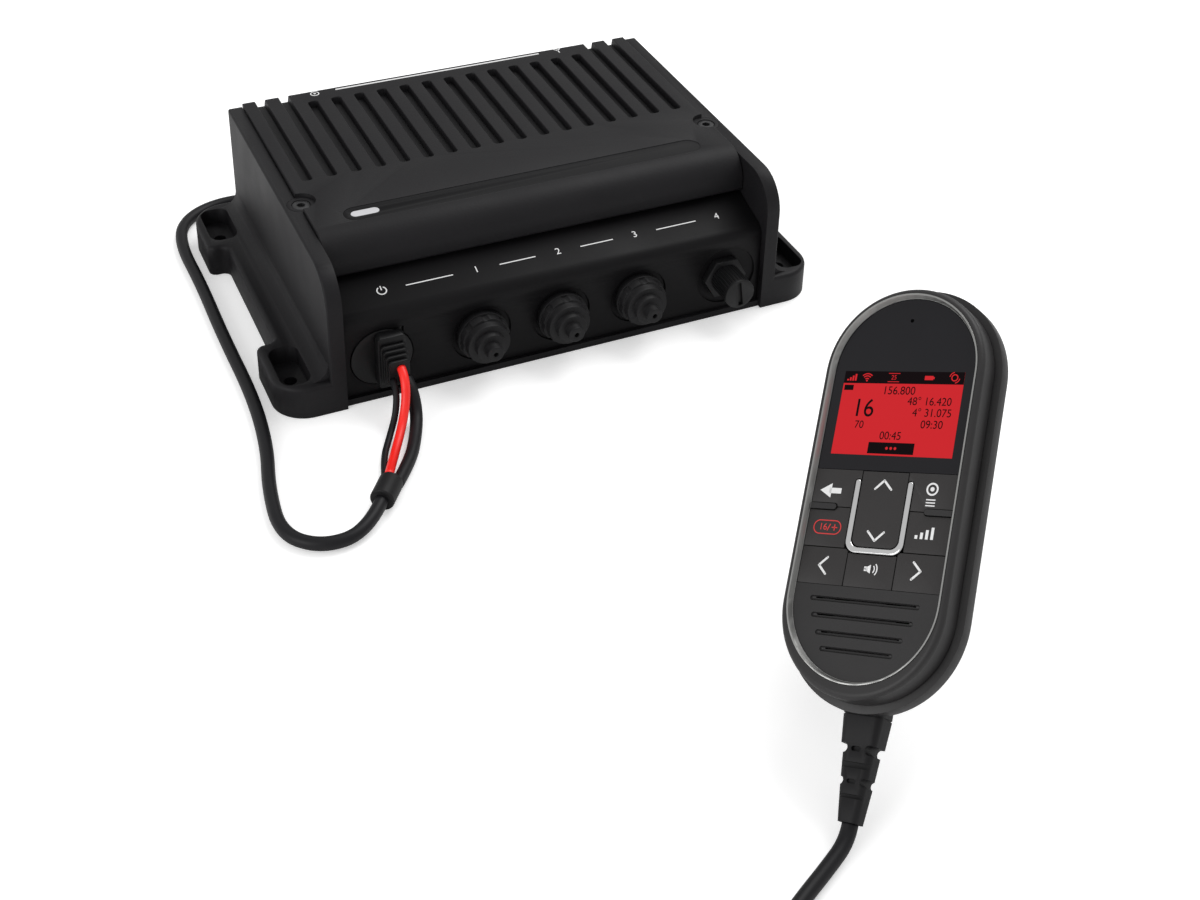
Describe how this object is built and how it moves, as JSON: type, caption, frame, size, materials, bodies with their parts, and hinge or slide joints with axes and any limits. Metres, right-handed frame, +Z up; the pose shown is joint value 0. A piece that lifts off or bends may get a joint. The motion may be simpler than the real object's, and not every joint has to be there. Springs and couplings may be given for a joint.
{
  "type": "vhf marine radio",
  "caption": "Black-box VHF marine radio: ribbed metal transceiver with a row of capped sockets, a power lead, and a corded handset with a lit screen and keypad.",
  "frame": {"origin": "centre of the four mounting holes on the transceiver's base plane", "axes": "+Z up from the base; the connector face looks along -Y; +X runs along the row of sockets"},
  "size_m": [0.289, 0.6354, 0.1266],
  "materials": {
    "cast_case": "fine textured satin black",
    "panel_black": "satin",
    "soft_black": "matte",
    "strip_print": "printed film",
    "light_pipe": "milky",
    "circuit_green": "lacquered board",
    "bare_steel": "satin",
    "amplifier_can": "bare",
    "pad_grey": "soft",
    "nickel": "plated",
    "wire_red": "smooth insulation",
    "cord_black": "smooth jacket",
    "handset_shell": "fine satin",
    "key_grey": "satin",
    "ring_silver": "satin",
    "trim_chrome": "polished",
    "window_glass": "clear hard window",
    "screen_red": "lit display",
    "speaker_black": "cone and frame",
    "distress_red": "red"
  },
  "bodies": {
    "case": {"chassis": "cast_case", "top_cover": "cast_case", "front_panel": "panel_black", "cover_gasket": "soft_black", "cover_screws": "bare_steel", "label_strip": "strip_print", "status_light_pipe": "light_pipe", "main_board": "circuit_green", "board_screws": "bare_steel", "rf_module": "amplifier_can", "heat_pad": "pad_grey", "power_socket": "panel_black", "handset_port_1": "panel_black", "handset_port_2": "panel_black", "hub_port": "panel_black", "data_port": "panel_black", "port_nuts": "panel_black", "vhf_antenna_socket": "nickel", "gps_antenna_socket": "nickel", "power_wire_red": "wire_red", "power_wire_black": "cord_black", "power_wire_thin": "cord_black", "wire_sleeve": "soft_black", "power_cable": "cord_black", "power_cable_coil": "cord_black", "fuse_holder": "panel_black", "hanger_bracket": "bare_steel", "handset_cord": "cord_black", "handset_cord_coil": "cord_black", "handset_plug": "panel_black"},
    "dust_cap_1": {"dust_cap_1": "soft_black"},
    "dust_cap_2": {"dust_cap_2": "soft_black"},
    "dust_cap_3": {"dust_cap_3": "soft_black"},
    "blanking_plug": {"blanking_plug": "panel_black"},
    "power_plug": {"power_plug": "panel_black"},
    "handset": {"handset_front_case": "handset_shell", "handset_back_case": "handset_shell", "bezel_ring": "ring_silver", "display_window": "window_glass", "display_module": "screen_red", "handset_board": "circuit_green", "keypad_trim": "trim_chrome", "keypad_mat": "soft_black", "loudspeaker": "speaker_black", "microphone": "speaker_black", "hang_lug": "handset_shell", "case_screws": "bare_steel", "cord_boot": "soft_black"},
    "rocker_key": {"rocker_key": "key_grey"},
    "ptt_key": {"ptt_key": "handset_shell"},
    "distress_cover": {"distress_cover": "distress_red"},
    "distress_key": {"distress_key": "distress_red"},
    "lock_ring": {"lock_ring": "panel_black"},
    "back_key": {"back_key": "key_grey"},
    "channel_key": {"channel_key": "key_grey"},
    "ok_key": {"ok_key": "key_grey"},
    "power_level_key": {"power_level_key": "key_grey"},
    "left_key": {"left_key": "key_grey"},
    "volume_key": {"volume_key": "key_grey"},
    "right_key": {"right_key": "key_grey"}
  },
  "joints": [
    {"name": "dust_cap_1_pull", "type": "slide", "parent": "case", "child": "dust_cap_1", "axis": [0, -1, 0], "range_m": [0, 0.022]},
    {"name": "dust_cap_2_pull", "type": "slide", "parent": "case", "child": "dust_cap_2", "axis": [0, -1, 0], "range_m": [0, 0.022]},
    {"name": "dust_cap_3_pull", "type": "slide", "parent": "case", "child": "dust_cap_3", "axis": [0, -1, 0], "range_m": [0, 0.022]},
    {"name": "blanking_plug_turn", "type": "hinge", "parent": "case", "child": "blanking_plug", "pos_m": [0.0797, -0.08, 0.0203], "axis": [0, -1, 0], "continuous": true},
    {"name": "power_plug_pull", "type": "slide", "parent": "case", "child": "power_plug", "axis": [0, -1, 0], "range_m": [0, 0.011], "deforming": ["power_wire_red", "power_wire_black", "power_wire_thin"]},
    {"name": "handset_lift", "type": "slide", "parent": "case", "child": "handset", "axis": [0.6986, 0.1094, 0.7071], "range_m": [0, 0.016]},
    {"name": "back_key_press", "type": "slide", "parent": "handset", "child": "back_key", "axis": [0.6986, 0.1094, -0.7071], "range_m": [0, 0.0007], "stiffness_N_per_m": 300, "springref_m": -0.002},
    {"name": "channel_key_press", "type": "slide", "parent": "handset", "child": "channel_key", "axis": [0.6986, 0.1094, -0.7071], "range_m": [0, 0.0007], "stiffness_N_per_m": 300, "springref_m": -0.002},
    {"name": "ok_key_press", "type": "slide", "parent": "handset", "child": "ok_key", "axis": [0.6986, 0.1094, -0.7071], "range_m": [0, 0.0007], "stiffness_N_per_m": 300, "springref_m": -0.002},
    {"name": "power_level_key_press", "type": "slide", "parent": "handset", "child": "power_level_key", "axis": [0.6986, 0.1094, -0.7071], "range_m": [0, 0.0007], "stiffness_N_per_m": 300, "springref_m": -0.002},
    {"name": "left_key_press", "type": "slide", "parent": "handset", "child": "left_key", "axis": [0.6986, 0.1094, -0.7071], "range_m": [0, 0.0007], "stiffness_N_per_m": 300, "springref_m": -0.002},
    {"name": "volume_key_press", "type": "slide", "parent": "handset", "child": "volume_key", "axis": [0.6986, 0.1094, -0.7071], "range_m": [0, 0.0007], "stiffness_N_per_m": 300, "springref_m": -0.002},
    {"name": "right_key_press", "type": "slide", "parent": "handset", "child": "right_key", "axis": [0.6986, 0.1094, -0.7071], "range_m": [0, 0.0007], "stiffness_N_per_m": 300, "springref_m": -0.002},
    {"name": "rocker_tilt", "type": "hinge", "parent": "handset", "child": "rocker_key", "pos_m": [0.02266, -0.29365, 0.07437], "axis": [0.5041, -0.7766, 0.3778], "range_deg": [-3, 3], "stiffness_Nm_per_rad": 0.02},
    {"name": "ptt_press", "type": "slide", "parent": "handset", "child": "ptt_key", "axis": [0.5041, -0.7766, 0.3778], "range_m": [0, 0.0015], "stiffness_N_per_m": 500, "springref_m": -0.002},
    {"name": "distress_cover_open", "type": "hinge", "parent": "handset", "child": "distress_cover", "pos_m": [0.07362, -0.25081, 0.09443], "axis": [0.5041, -0.7766, 0.3778], "range_deg": [0, 100], "stiffness_Nm_per_rad": 0.004, "springref_deg": -11.46},
    {"name": "distress_key_press", "type": "slide", "parent": "handset", "child": "distress_key", "axis": [-0.6986, -0.1094, 0.7071], "range_m": [0, 0.0008], "stiffness_N_per_m": 300, "springref_m": -0.002},
    {"name": "lock_ring_turn", "type": "hinge", "parent": "case", "child": "lock_ring", "pos_m": [-0.056, -0.4636, 0.0094], "axis": [1, 0, 0], "continuous": true}
  ]
}
